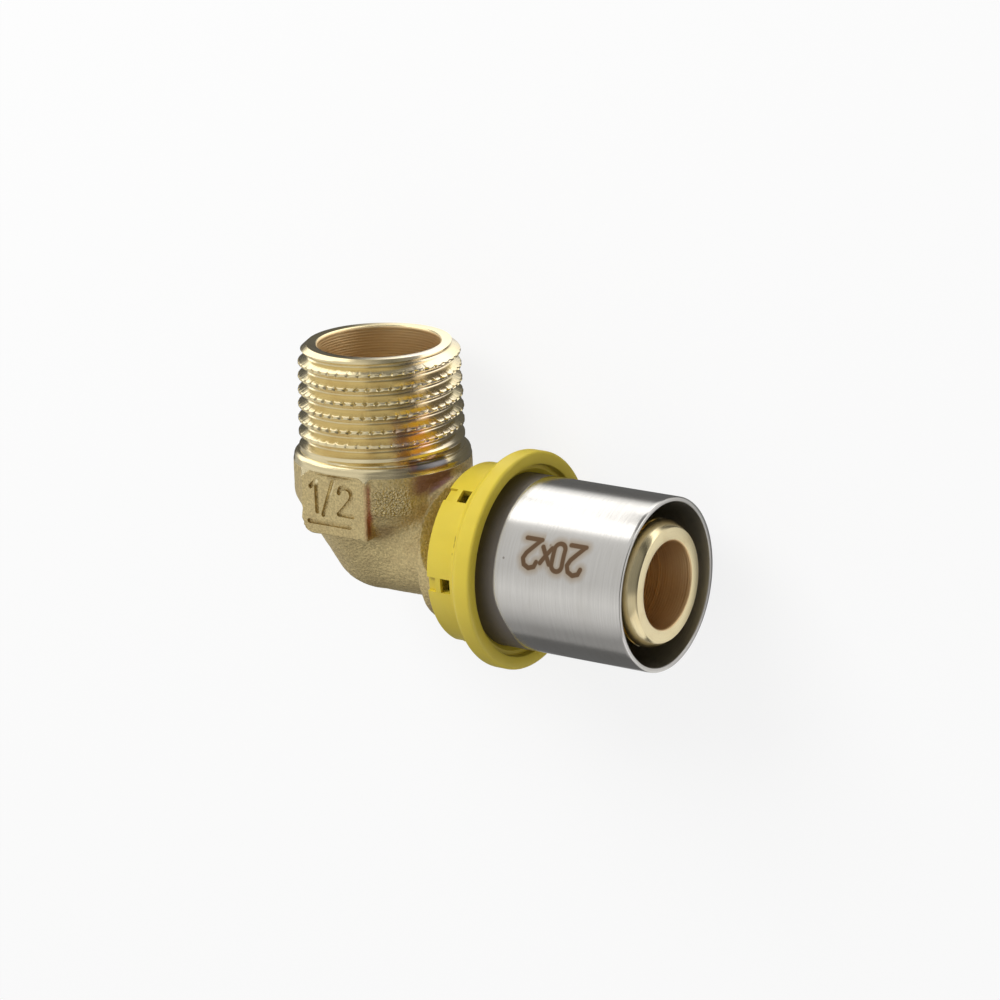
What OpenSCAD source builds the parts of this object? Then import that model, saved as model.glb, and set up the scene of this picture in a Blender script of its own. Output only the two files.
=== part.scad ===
// Press elbow with a male pipe thread: a forged and turned brass body, two seal rings,
// a stainless press sleeve and the moulded ring that holds the sleeve on the body.
// The thread runs along +Y and the spigot along +X; the two axes meet at the origin.

/* [Threaded end] */
// Distance from the spigot axis to the end face of the thread
thread_end_y = 25.55; // [24:0.05:30]
// Thread pitch, 14 threads to the inch
thread_pitch = 1.814; // [1.2:0.001:2.4]
// Major radius at the gauge plane
thread_r = 10.478; // [10.3:0.001:10.7]
// Distance from the end face to the gauge plane
gauge_length = 8.2; // [6:0.1:10]
// Radius of the waterway in the threaded end
thread_bore_r = 7.775; // [6:0.025:8]
// Depth of that waterway from the end face
thread_bore_depth = 22.9; // [14:0.1:23]

/* [Forged elbow] */
// Radius of the barrel below the thread
barrel_r = 11.35; // [11.2:0.05:12]
// Height of the turned shoulder's lower edge above the spigot axis
shoulder_y = 10.85; // [10.5:0.05:11.5]
// Corner radius of the turned shoulder
shoulder_round = 1.05; // [0.6:0.05:1.1]
// Radius of the neck between the knuckle and the collar
neck_r = 6.65; // [6.4:0.05:6.7]
// Radius of the round knuckle where the two axes meet
knuckle_r = 6.75; // [6.7:0.05:7.5]
// Half angle of the cone that joins the knuckle to the barrel
heel_angle = 29.5; // [26:0.5:33]
// Width of the two flat wrench pads
pad_width = 10; // [6:0.5:12]
// Distance across the two wrench pads
pad_across = 21.2; // [20.6:0.1:22.6]
// Lower edge of the wrench pads above the spigot axis
pad_low_y = 2.65; // [2:0.05:5]
// Upper edge of the wrench pads above the spigot axis
pad_top_y = 10.4; // [9:0.05:10.8]
// Corner radius of the wrench pads on the heel side
pad_round = 1.8; // [0.5:0.1:2.5]

/* [Collar and spigot] */
// Radius of the collar behind the moulded ring
collar_r = 9.25; // [9:0.05:10]
// Station of the collar's rear face
collar_x = 10.86; // [10:0.01:12]
// Station of the spigot's nose
spigot_end_x = 42.16; // [40:0.01:46]
// Greatest radius of the spigot, which enters the pipe
spigot_r = 7.95; // [7.8:0.01:8]
// Radius of the waterway in the spigot
spigot_bore_r = 5.46; // [5:0.01:5.6]
// Depth of the barbs cut in the spigot
barb_depth = 0.6; // [0.2:0.05:0.7]
// Number of barbs before the nose
barb_count = 4; // [2:1:4]

/* [Seal rings] */
// Section diameter of a seal ring
seal_d = 1.9; // [1.6:0.05:1.95]
// Station of the inner seal ring
inner_seal_x = 21.6; // [20:0.1:23]
// Station of the outer seal ring
outer_seal_x = 28.2; // [26:0.1:29]

/* [Press sleeve] */
// Outer radius of the sleeve
sleeve_r = 10.91; // [10.85:0.01:10.93]
// Wall thickness of the sleeve
sleeve_wall = 0.64; // [0.5:0.01:0.8]
// Station of the sleeve's free edge
sleeve_end_x = 41.98; // [38:0.01:44]
// Radius of the lip that the moulded ring grips
sleeve_lip_r = 11.3; // [11.2:0.05:11.4]

/* [Moulded ring] */
// Station of the ring's rear face
ring_x = 14.2; // [14:0.05:15]
// Radius of the ring's hub
ring_hub_r = 11.4; // [11.3:0.05:11.6]
// Radius of the ring's flange
flange_r = 13.8; // [13:0.1:15]
// Station of the flange's front face
flange_x = 22.05; // [21.8:0.05:22.5]
// Number of inspection windows
window_count = 6; // [3:1:8]
// Angle of the first window from the thread side
window_phase = 35; // [0:1:60]
// Width of a window
window_width = 1.9; // [1.5:0.1:3]

/* [Hidden] */
$fn = 96;
e = 0.01;
arc_steps = 6;
edge = 0.4;

// Thread form: 55 degree flanks on a 1 in 16 taper, with as many full crests as fit
thread_depth = 0.6403 * thread_pitch;
crest_land = thread_pitch / 6;
gauge_y = thread_end_y - gauge_length;
first_crest_y = thread_end_y - 2.13;
last_crest_gap = 1.5;
crest_count = 1 + floor((first_crest_y - shoulder_y - last_crest_gap) / thread_pitch);
runout_depth = 0.45;

// The half crest left by the chamfer on the end face
half_crest_r = 9.95;
half_crest_w = 0.2;
end_chamfer_h = 0.55;
end_face_r = 9.5;

// Heel: the cone leaves the knuckle as a tangent and ends in the barrel's rounded foot
heel_start_r = knuckle_r * cos(heel_angle);
heel_start_y = -knuckle_r * sin(heel_angle);
foot_round = 2.5;
foot_y = heel_start_y + (barrel_r - heel_start_r) / tan(heel_angle)
    + foot_round * tan(heel_angle / 2);

// Grooved spigot: ring seat, snap bead, seal grooves, barbs and nose
seat_r = 8.4;
seat_end_x = ring_x + 1.45;
bead_r = 8.75;
bead_end_x = seat_end_x + 0.4;
shank_r = spigot_r - 0.35;
shank_x = bead_end_x + 0.9;
seal_groove_r = 6.35;
seal_groove_w = 2.4;
seal_land = 2;
land_slope = 0.3;
nose_x = spigot_end_x - 2.6;
nose_round = 1.7;
nose_face_r = 7.14;
nose_round_r = nose_face_r - 0.85;
barb_x = outer_seal_x + seal_land + 0.2;
barb_flat = 0.35;
barb_pitch = (nose_x - barb_x - 0.5) / barb_count;

// Sleeve and the seat that it has in the ring
sleeve_x = 18.9;
sleeve_lip_w = 0.6;
sleeve_edge = 0.12;
ring_wall_x = ring_x + 1.4;
ring_bore_r = seat_r + 0.1;
pipe_room_r = 10.3;
fit_gap = 0.04;
mouth_r = 12.05;
mouth_step = 0.6;
mouth_x = flange_x - 0.95;

// Sweep from the hub to the flange, with the flange's rounded rear edge
hub_edge = 0.15;
sweep_x = 17.7;
sweep_round = 1.5;
rim_x = flange_x - 1.95;
rim_round = 1.1;
visible_slope = 58;

// Windows, each with a notch in the hub's rear edge
window_x = ring_wall_x + 0.1;
window_end_x = 17.6;
window_floor_r = 9.5;
notch_floor_r = 10.9;

// Points of an arc from angle a0 to a1
function arc(cx, cy, r, a0, a1) =
    [for (i = [0 : arc_steps]) let (a = a0 + (a1 - a0) * i / arc_steps)
        [cx + r * cos(a), cy + r * sin(a)]];

// Major radius of the tapered thread at height y
function major_r(y) = thread_r - (y - gauge_y) / 32;

// Height of crest i, counted down from the end face
function crest_y(i) = first_crest_y - i * thread_pitch;

// The flat on a crest with the root below it, as profile points
function crest(i) =
    let (y = crest_y(i), r = major_r(y), root = r - thread_depth, valley = thread_pitch / 2)
    [[root, y + valley - crest_land / 2], [r, y + crest_land / 2],
     [r, y - crest_land / 2], [root, y - valley + crest_land / 2]];

// One barb: a slope that rises towards the body and ends in a square back
function barb(i) =
    let (x = barb_x + i * barb_pitch)
    [[spigot_r - barb_depth, x], [spigot_r, x + e],
     [spigot_r, x + barb_flat], [spigot_r - barb_depth, x + barb_pitch - e]];

// A seal groove round station x, in a land that stands above the shank
function seal_land_profile(x) =
    let (half = seal_groove_w / 2)
    [[shank_r, x - seal_land - land_slope], [spigot_r, x - seal_land],
     [spigot_r, x - half], [seal_groove_r, x - half],
     [seal_groove_r, x + half], [spigot_r, x + half],
     [spigot_r, x + seal_land], [shank_r, x + seal_land + land_slope]];

// Turns a shape made about Z so that its axis is Y
module along_y() rotate([-90, 0, 0]) children();

// Turns a shape made about Z so that its axis is X
module along_x() rotate([0, 90, 0]) children();

// Thread crests on their taper, from the turned shoulder to the chamfered end face
module threaded_end() {
    rounding = arc(barrel_r - shoulder_round, shoulder_y + 0.15, shoulder_round, 0, 85);
    top = rounding[arc_steps];
    last = crest(crest_count - 1);
    along_y() rotate_extrude() polygon(concat(
        [[0, shoulder_y - 1], [barrel_r, shoulder_y - 1]],
        rounding,
        [[top[0] - runout_depth, (top[1] + last[2][1]) / 2], last[2], last[1], last[0]],
        [for (i = [crest_count - 2 : -1 : 0]) for (j = [3 : -1 : 0]) crest(i)[j]],
        [[half_crest_r, thread_end_y - end_chamfer_h - half_crest_w],
         [half_crest_r, thread_end_y - end_chamfer_h],
         [end_face_r, thread_end_y], [0, thread_end_y]]
    ));
}

// Barrel, heel cone and knuckle as one turned shape about the thread axis
module barrel() {
    along_y() rotate_extrude() polygon(concat(
        [[0, shoulder_y], [0, -knuckle_r]],
        arc(0, 0, knuckle_r, -80, -heel_angle),
        arc(barrel_r - foot_round, foot_y, foot_round, -heel_angle, 0),
        [[barrel_r, shoulder_y]]
    ));
}

// Outline of a wrench pad, rounded on the heel side
module pad_outline() {
    right = pad_width / 2;
    polygon(concat(
        [[right, pad_top_y], [-right, pad_top_y]],
        arc(-right + pad_round, pad_low_y + pad_round, pad_round, 180, 270),
        [[right - edge, pad_low_y], [right, pad_low_y + edge]]
    ));
}

// The raw forging: barrel with its knuckle, neck and both wrench pads
module forging() {
    difference() {
        union() {
            barrel();
            along_x() cylinder(r = neck_r, h = collar_x + 1);
            linear_extrude(pad_across, center = true) pad_outline();
        }
        for (side = [0, 180])
            rotate([0, side, 0])
            translate([-pad_width / 2 - 1, pad_low_y - 1, pad_across / 2])
                cube([pad_width + 2, pad_top_y - pad_low_y + 1, 2]);
    }
}

// Collar, ring seat, seal grooves, barbs and the rounded nose
module collar_and_spigot() {
    along_x() rotate_extrude() polygon(concat(
        [[0, collar_x], [collar_r - edge, collar_x], [collar_r, collar_x + edge],
         [collar_r, ring_x], [seat_r, ring_x], [seat_r, seat_end_x],
         [bead_r, seat_end_x], [bead_r, bead_end_x], [shank_r, shank_x]],
        seal_land_profile(inner_seal_x),
        seal_land_profile(outer_seal_x),
        [for (i = [0 : barb_count - 1]) each barb(i)],
        [[spigot_r - barb_depth, nose_x - 0.1], [spigot_r, nose_x]],
        arc(nose_round_r, spigot_end_x - nose_round, nose_round, 10, 60),
        [[nose_face_r, spigot_end_x], [0, spigot_end_x]]
    ));
}

// Both waterways, joined by a 118 degree drill cone and a ball at the crossing
module waterway() {
    bore_floor_y = thread_end_y - thread_bore_depth;
    cone_h = (thread_bore_r - spigot_bore_r) / tan(59);
    mouth_edge = 0.2;
    translate([0, bore_floor_y, 0])
        along_y() cylinder(r = thread_bore_r, h = thread_bore_depth + 1);
    translate([0, bore_floor_y - cone_h, 0])
        along_y() cylinder(r1 = spigot_bore_r, r2 = thread_bore_r, h = cone_h + e);
    along_y() cylinder(r = spigot_bore_r, h = bore_floor_y);
    sphere(r = spigot_bore_r);
    along_x() cylinder(r = spigot_bore_r, h = spigot_end_x + 1);
    translate([spigot_end_x - mouth_edge, 0, 0])
        along_x() cylinder(r1 = spigot_bore_r, r2 = spigot_bore_r + mouth_edge + e,
                           h = mouth_edge + e);
}

module brass_body() {
    color("#c9ad68")
    difference() {
        union() {
            forging();
            threaded_end();
            collar_and_spigot();
        }
        waterway();
    }
}

// A round seal ring that lies on the floor of its groove
module seal_ring(x) {
    translate([x, 0, 0])
        along_x() rotate_extrude()
        translate([seal_groove_r + seal_d / 2, 0]) circle(d = seal_d, $fn = 32);
}

module inner_seal_ring() {
    color("#202020") seal_ring(inner_seal_x);
}

module outer_seal_ring() {
    color("#202020") seal_ring(outer_seal_x);
}

// Thin drawn sleeve with a small lip at its rear edge
module press_sleeve() {
    inner_r = sleeve_r - sleeve_wall;
    color("#b9b7b2")
    along_x() rotate_extrude() polygon([
        [inner_r, sleeve_x + sleeve_edge], [inner_r + sleeve_edge, sleeve_x],
        [sleeve_lip_r, sleeve_x], [sleeve_lip_r, sleeve_x + sleeve_lip_w],
        [sleeve_r, sleeve_x + sleeve_lip_w],
        [sleeve_r, sleeve_end_x - sleeve_edge], [sleeve_r - sleeve_edge, sleeve_end_x],
        [inner_r + sleeve_edge, sleeve_end_x], [inner_r, sleeve_end_x - sleeve_edge]
    ]);
}

// Section of the moulded ring: hub, swept flange and the mouth round the sleeve
module ring_section() {
    seat = sleeve_r + fit_gap;
    lip_seat = sleeve_lip_r + fit_gap;
    lip_end_x = sleeve_x + sleeve_lip_w + fit_gap;
    polygon(concat(
        [[ring_bore_r, ring_x], [ring_hub_r - hub_edge, ring_x], [ring_hub_r, ring_x + hub_edge]],
        arc(ring_hub_r + sweep_round, sweep_x, sweep_round, 180, 180 - visible_slope),
        arc(flange_r - rim_round, rim_x, rim_round, -visible_slope, 0),
        arc(flange_r - edge, flange_x - edge, edge, 0, 90),
        [[mouth_r + edge, flange_x], [mouth_r, flange_x - edge], [mouth_r, mouth_x],
         [mouth_r - mouth_step, mouth_x], [seat, mouth_x - mouth_step], [seat, lip_end_x],
         [lip_seat, lip_end_x], [lip_seat, sleeve_x],
         [pipe_room_r, sleeve_x], [pipe_room_r, ring_wall_x], [ring_bore_r, ring_wall_x]]
    ));
}

// One window with the notch behind it, on the thread side before it is turned
module window() {
    top_r = ring_hub_r + 1;
    rotate([90, 0, 90]) linear_extrude(window_width, center = true) polygon([
        [notch_floor_r, ring_x - 1], [top_r, ring_x - 1], [top_r, window_end_x],
        [window_floor_r, window_end_x], [window_floor_r, window_x], [notch_floor_r, window_x]
    ]);
}

module moulded_ring() {
    color("#dec852")
    along_x()
    difference() {
        rotate_extrude() ring_section();
        for (i = [0 : window_count - 1])
            rotate([0, 0, window_phase + i * 360 / window_count]) window();
    }
}

brass_body();
inner_seal_ring();
outer_seal_ring();
press_sleeve();
moulded_ring();
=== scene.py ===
"""Male threaded press elbow: forged and turned brass body, press sleeve and moulded ring.

The thread runs along +Y and the spigot along +X; the fitting lies on its side on the floor.
Mesh code and materials work in millimetres, and a piece is brought to metres when it is
finished. The stage's lamp and camera are placed in metres.
"""
from math import atan2, cos, degrees, pi, radians, sin, tan

import bmesh
import bpy
import numpy as np
from bpy.props import FloatProperty, FloatVectorProperty, IntProperty, PointerProperty
from mathutils import Matrix, Vector


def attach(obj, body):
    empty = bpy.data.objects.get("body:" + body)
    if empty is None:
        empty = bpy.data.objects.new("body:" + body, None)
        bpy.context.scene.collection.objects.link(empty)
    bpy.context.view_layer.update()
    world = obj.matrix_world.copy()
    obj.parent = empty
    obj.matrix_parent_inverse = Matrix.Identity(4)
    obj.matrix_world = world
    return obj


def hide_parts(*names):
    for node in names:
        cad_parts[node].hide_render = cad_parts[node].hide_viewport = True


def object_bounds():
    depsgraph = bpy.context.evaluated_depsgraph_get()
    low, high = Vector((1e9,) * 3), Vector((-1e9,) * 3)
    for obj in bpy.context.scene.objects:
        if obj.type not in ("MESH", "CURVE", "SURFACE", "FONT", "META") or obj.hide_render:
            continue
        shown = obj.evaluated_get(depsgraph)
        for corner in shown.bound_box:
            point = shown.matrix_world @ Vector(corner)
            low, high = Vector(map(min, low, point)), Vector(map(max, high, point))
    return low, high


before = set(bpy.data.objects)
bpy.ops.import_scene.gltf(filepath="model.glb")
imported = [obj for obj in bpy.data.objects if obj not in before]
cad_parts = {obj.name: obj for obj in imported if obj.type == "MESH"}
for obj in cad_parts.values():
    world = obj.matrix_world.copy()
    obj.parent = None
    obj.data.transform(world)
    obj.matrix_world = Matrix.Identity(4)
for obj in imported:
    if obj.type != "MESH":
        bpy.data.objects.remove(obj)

bl_info = {
    "name": "Male threaded press elbow",
    "version": (1, 0, 0),
    "blender": (4, 5, 0),
    "location": "View3D > Sidebar > Elbow",
    "description": "Builds the dressed fitting over its packed solids",
    "category": "Object",
}

CAD_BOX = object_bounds()
MM = 0.001

# Stations and radii in millimetres, the same as the solids have or just inside them
THREAD_END_Y = 25.55
PITCH = 1.814
THREAD_R = 10.478
GAUGE_Y = 17.35
THREAD_DEPTH = 1.162
TOP_CREST_Y = 23.32
TOP_CREST_ANGLE = -53
THREAD_BORE_R = 7.775
THREAD_BORE_END_Y = 2.65
SPLIT_Y = 10.5
SHOULDER_TOP_Y = 12.0
BARREL_R = 11.3
NECK_R = 6.65
KNUCKLE_R = 6.75
HEEL_ANGLE = radians(29.5)
PAD_LEFT = 5.3
PAD_RIGHT = 4.75
PAD_Z = 10.6
PAD_LOW_Y = 2.65
PAD_TOP_Y = 10.85
PAD_ROUND = 1.8
COLLAR_R = 9.25
COLLAR_X = 10.86
RING_X = 14.2
SPIGOT_END_X = 42.16
SPIGOT_BORE_R = 5.46
SPIGOT_R = 7.95
SPIGOT_FOOT_R = 7.6
SEAL_X = (21.6, 28.2)
SEAL_GROOVE_R = 6.35
SEAL_GROOVE_HALF = 1.2
BARB_X = 30.4
BARB_END_X = 39.1
BARB_FOOT_R = 7.35
BARBS = 4
SLEEVE_R = 10.91
SLEEVE_WALL = 0.64
SLEEVE_X = 18.9
SLEEVE_END_X = 41.98
FLANGE_X = 22.05
FLANGE_R = 13.79
HUB_R = 11.4
LIP_R = 11.3
WINDOW_END_X = 17.6
WINDOW_LENGTH = 2.15

# The turned shoulder's outline, as height and radius
SHOULDER = [(10.9, 11.26), (11.05, 11.22), (11.4, 11.18), (11.65, 11.08), (11.72, 10.98),
            (11.85, 10.85), (12.15, 10.6), (12.35, 10.1), (12.7, 9.2), (13.0, 8.9)]

# The thread's mesh: columns round it, and rows in one pitch from a crest to the next
THREAD_COLUMNS = 576
PITCH_ROWS = [0, 0.035, 0.065, 0.095, 0.135, 0.25, 0.37, 0.44, 0.5, 0.56, 0.63, 0.865, 0.905,
              0.935, 0.965]

# Middle of a shallow dent that the mould leaves at the foot of the ring's flange
DENT = Vector((18.6, 4.6, 10.9))

# Strokes of a 2 that is 2.1 wide and 3.75 high
DIGIT_TWO = [((0, 0.1), (2.15, 0.1)), ((0.1, 0.15), (1.75, 1.95)), ((1.75, 1.95), (2.1, 2.65)),
             ((2.1, 2.65), (1.85, 3.4)), ((1.85, 3.4), (1.15, 3.75)), ((1.15, 3.75), (0.4, 3.5)),
             ((0.4, 3.5), (0.15, 2.9))]


# ---------------------------------------------------------------------------
# Settings that a user would change

class ElbowSizes(bpy.types.PropertyGroup):
    """Fine sizes of the dressed fitting"""
    skin_cell: FloatProperty(
        name="Skin cell", description="Mesh size of the forged skin",
        default=0.00024, min=0.00015, max=0.001, unit="LENGTH", precision=5)
    unevenness: FloatProperty(
        name="Unevenness", description="How far the forged skin waves in and out",
        default=0.000045, min=0, max=0.0003, unit="LENGTH", precision=5)
    nick_depth: FloatProperty(
        name="Nick depth", description="Depth of the nicks that hold sealant on the crests",
        default=0.00045, min=0, max=0.0006, unit="LENGTH", precision=5)
    nick_count: IntProperty(
        name="Nicks", description="Nicks on one turn of the thread", default=44, min=0, max=90)
    window_count: IntProperty(
        name="Windows", description="Inspection windows in the moulded ring",
        default=6, min=3, max=8)
    window_width: FloatProperty(
        name="Window width", description="Width of an inspection window",
        default=0.0019, min=0.0015, max=0.003, unit="LENGTH", precision=5)
    window_phase: FloatProperty(
        name="First window", description="Angle of the first window from the thread side",
        default=radians(35), min=0, max=radians(60), unit="ROTATION")


class ElbowColours(bpy.types.PropertyGroup):
    """Colours of the dressed fitting"""
    forged: FloatVectorProperty(
        name="Forged brass", description="Blasted skin of the forging",
        default=(0.72, 0.585, 0.30), size=3, min=0, max=1, subtype="COLOR")
    turned: FloatVectorProperty(
        name="Turned brass", description="Thread, shoulder, bores and spigot",
        default=(0.88, 0.755, 0.46), size=3, min=0, max=1, subtype="COLOR")
    steel: FloatVectorProperty(
        name="Sleeve", description="Drawn stainless steel of the press sleeve",
        default=(0.70, 0.68, 0.645), size=3, min=0, max=1, subtype="COLOR")
    mark: FloatVectorProperty(
        name="Mark", description="Tint that the laser leaves on the sleeve",
        default=(0.16, 0.09, 0.045), size=3, min=0, max=1, subtype="COLOR")
    plastic: FloatVectorProperty(
        name="Ring", description="Moulded ring",
        default=(0.69, 0.54, 0.048), size=3, min=0, max=1, subtype="COLOR")
    rubber: FloatVectorProperty(
        name="Rubber", description="Seal rings",
        default=(0.012, 0.012, 0.013), size=3, min=0, max=1, subtype="COLOR")
    floor: FloatVectorProperty(
        name="Floor", description="Pale floor",
        default=(0.9, 0.9, 0.9), size=3, min=0, max=1, subtype="COLOR")


# ---------------------------------------------------------------------------
# Shader helpers

class Value:
    """A number that a shader works out; arithmetic on it adds Math nodes"""

    def __init__(self, nodes, socket):
        self.nodes = nodes
        self.socket = socket

    def _math(self, operation, *values):
        inputs = dict(enumerate(values))
        return self.nodes.node("ShaderNodeMath", {"operation": operation}, inputs)

    def __add__(self, other):
        return self._math("ADD", self, other)

    def __sub__(self, other):
        return self._math("SUBTRACT", self, other)

    def __rsub__(self, other):
        return self._math("SUBTRACT", other, self)

    def __mul__(self, other):
        return self._math("MULTIPLY", self, other)

    def __truediv__(self, other):
        return self._math("DIVIDE", self, other)

    def __rtruediv__(self, other):
        return self._math("DIVIDE", other, self)

    def __lt__(self, other):
        return self._math("LESS_THAN", self, other)

    def __gt__(self, other):
        return self._math("GREATER_THAN", self, other)

    def __abs__(self):
        return self._math("ABSOLUTE", self)

    def __neg__(self):
        return self._math("MULTIPLY", self, -1)

    __radd__ = __add__
    __rmul__ = __mul__

    def least(self, other):
        return self._math("MINIMUM", self, other)

    def most(self, other):
        return self._math("MAXIMUM", self, other)

    def root(self):
        return self._math("SQRT", self)

    def wave(self):
        return self._math("SINE", self)

    def angle(self, other):
        return self._math("ARCTAN2", self, other)

    def ramp(self, low, high):
        """0 below low and 1 above high, with soft ends"""
        return self.nodes.node(
            "ShaderNodeMapRange", {"interpolation_type": "SMOOTHSTEP", "clamp": True},
            {0: self, 1: low, 2: high, 3: 0, 4: 1})

    def band(self, low, high, soft):
        """1 between low and high, 0 outside, with soft edges"""
        return self.ramp(low - soft, low + soft) * (1 - self.ramp(high - soft, high + soft))


class Nodes:
    """A node tree that every node is added to in the same way"""

    def __init__(self, tree):
        self.tree = tree

    def node(self, kind, settings, inputs, output=0):
        """A node with its settings made first, then its sockets' values or links"""
        made = self.tree.nodes.new(kind)
        for name, value in settings.items():
            if name == "stops":
                stops = made.color_ramp.elements
                while len(stops) < len(value):
                    stops.new(1)
                for stop, (position, colour) in zip(stops, value):
                    stop.position = position
                    stop.color = (*colour, 1)
            else:
                setattr(made, name, value)
        for key, value in inputs.items():
            if isinstance(value, Value):
                self.tree.links.new(value.socket, made.inputs[key])
            else:
                made.inputs[key].default_value = value
        return Value(self, made.outputs[output])

    def ray(self, kind):
        """1 on rays of a kind, such as Camera or Glossy"""
        return self.node("ShaderNodeLightPath", {}, {}, f"Is {kind} Ray")

    def mix(self, factor, first, second):
        """Colour that goes from the first to the second as the factor goes from 0 to 1"""
        def colour(value):
            return value if isinstance(value, Value) else (*value[:3], 1)
        return self.node("ShaderNodeMix", {"data_type": "RGBA"},
                         {0: factor, 6: colour(first), 7: colour(second)}, 2)

    def feed(self, node, **sockets):
        """Links values to sockets of a node that the tree starts with"""
        for name, value in sockets.items():
            self.tree.links.new(value.socket, self.tree.nodes[node].inputs[name.replace("_", " ")])


class Shader(Nodes):
    """A material round one principled surface; places in it are in millimetres"""

    def __init__(self, name, **constants):
        self.material = bpy.data.materials.new(name)
        self.material.use_nodes = True
        super().__init__(self.material.node_tree)
        self.surface = self.tree.nodes["Principled BSDF"]
        for socket, value in constants.items():
            self.surface.inputs[socket.replace("_", " ")].default_value = value
        place = self.node("ShaderNodeTexCoord", {}, {}, "Object")
        self.place = self.node("ShaderNodeVectorMath", {"operation": "SCALE"},
                               {0: place, "Scale": 1 / MM})
        self.x, self.y, self.z = (
            self.node("ShaderNodeSeparateXYZ", {}, {0: self.place}, k) for k in range(3))

    def vector(self, x, y, z):
        return self.node("ShaderNodeCombineXYZ", {}, {0: x, 1: y, 2: z})

    def noise(self, vector, scale, detail=2.0, roughness=0.5):
        return self.node("ShaderNodeTexNoise", {},
                         {"Vector": vector, "Scale": scale, "Detail": detail,
                          "Roughness": roughness})

    def cells(self, vector, scale):
        return self.node("ShaderNodeTexVoronoi", {}, {"Vector": vector, "Scale": scale})

    def bump(self, height, distance, strength=1.0, normal=None):
        inputs = {"Height": height, "Distance": distance * MM, "Strength": strength}
        if normal is not None:
            inputs["Normal"] = normal
        return self.node("ShaderNodeBump", {}, inputs)

    def finish(self, **sockets):
        """The material, with what varies linked to its surface"""
        self.feed("Principled BSDF", **sockets)
        return self.material

    def glow(self, strength):
        """A white light of its own"""
        return self.node("ShaderNodeEmission", {}, {"Strength": strength})


# ---------------------------------------------------------------------------
# Mesh helpers

def turned(profile, axis, steps=256):
    """Spins a closed outline of (station, radius) points about the X or Y axis"""
    bm = bmesh.new()
    verts = [bm.verts.new((s, r, 0) if axis == "X" else (r, s, 0)) for s, r in profile]
    edges = [bm.edges.new(pair) for pair in zip(verts, verts[1:] + verts[:1])]
    bmesh.ops.spin(bm, geom=verts + edges, cent=(0, 0, 0), angle=2 * pi, steps=steps,
                   axis=(1, 0, 0) if axis == "X" else (0, 1, 0), use_merge=True)
    bmesh.ops.remove_doubles(bm, verts=bm.verts, dist=1e-4)
    on_axis = [edge for edge in bm.edges if edge.is_wire]
    bmesh.ops.delete(bm, geom=on_axis, context="EDGES")
    bmesh.ops.recalc_face_normals(bm, faces=bm.faces)
    return bm


def arc(cx, cy, radius, start, end, steps=8):
    """Points on an arc from one angle to another, in degrees"""
    return [(cx + radius * cos(radians(start + (end - start) * i / steps)),
             cy + radius * sin(radians(start + (end - start) * i / steps)))
            for i in range(steps + 1)]


def bend(start, way, end, way_out, pull, steps=10):
    """Points on a smooth bend that leaves and arrives in the given directions"""
    points = []
    for i in range(steps + 1):
        t = i / steps
        weights = (2 * t ** 3 - 3 * t ** 2 + 1, pull * (t ** 3 - 2 * t ** 2 + t),
                   3 * t ** 2 - 2 * t ** 3, pull * (t ** 3 - t ** 2))
        points.append(tuple(sum(w * v[k] for w, v in zip(weights, (start, way, end, way_out)))
                            for k in (0, 1)))
    return points


def loose_object(bm, name):
    """An object of the mesh, still in millimetres, for a modifier to work on"""
    mesh = bpy.data.meshes.new(name)
    bm.to_mesh(mesh)
    bm.free()
    made = bpy.data.objects.new(name, mesh)
    bpy.context.collection.objects.link(made)
    return made


def applied(source, *tools):
    """The mesh of an object after its modifiers; it and the tool objects are removed"""
    graph = bpy.context.evaluated_depsgraph_get()
    mesh = bpy.data.meshes.new_from_object(source.evaluated_get(graph))
    for old in (source, *tools):
        bpy.data.objects.remove(old)
    bm = bmesh.new()
    bm.from_mesh(mesh)
    bpy.data.meshes.remove(mesh)
    return bm


def move_to(bm, places):
    """Moves the vertices to new places"""
    for vert, place in zip(bm.verts, places):
        vert.co = place


def box(bm, size, middle):
    """Adds a box to the mesh"""
    verts = bmesh.ops.create_cube(bm, size=1)["verts"]
    bmesh.ops.scale(bm, vec=size, verts=verts)
    bmesh.ops.translate(bm, vec=middle, verts=verts)


def cut(bm, *cutters):
    """Takes the cutters' solids out of the mesh"""
    body = loose_object(bm, "work")
    tools = [loose_object(cutter, "tool") for cutter in cutters]
    for tool in tools:
        step = body.modifiers.new("cut", "BOOLEAN")
        step.operation = "DIFFERENCE"
        step.solver = "MANIFOLD"
        step.object = tool
    return applied(body, *tools)


def positions(bm):
    """Vertex positions as an array"""
    return np.array([v.co for v in bm.verts], dtype=float)


def mark_turned(bm, values):
    """Tells the brass finish where the metal is turned (1) and where it is forged (0)"""
    layer = bm.verts.layers.float.new("turned")
    for vert, value in zip(bm.verts, values):
        vert[layer] = float(value)


def finished(bm, name, material, nodes):
    """Brings a mesh to metres and makes it a piece that stands for its CAD nodes"""
    bmesh.ops.scale(bm, vec=(MM, MM, MM), verts=bm.verts)
    piece = loose_object(bm, name)
    piece.data.materials.append(material)
    piece.data.shade_smooth()
    piece.data.set_sharp_from_angle(angle=radians(30))
    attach(piece, "root")
    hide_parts(*nodes)


# ---------------------------------------------------------------------------
# The forged skin, as a distance that is 0 on it and negative inside

def soft_max(a, b, width):
    """Intersection with a rounded edge of about the width"""
    near = np.maximum(width - np.abs(a - b), 0) / width
    return np.maximum(a, b) + near * near * width / 4


def round_union(a, b, radius):
    """Union with a fillet of the radius in the valley"""
    return np.maximum(np.minimum(a, b), radius) - np.hypot(
        np.maximum(radius - a, 0), np.maximum(radius - b, 0))


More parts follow.
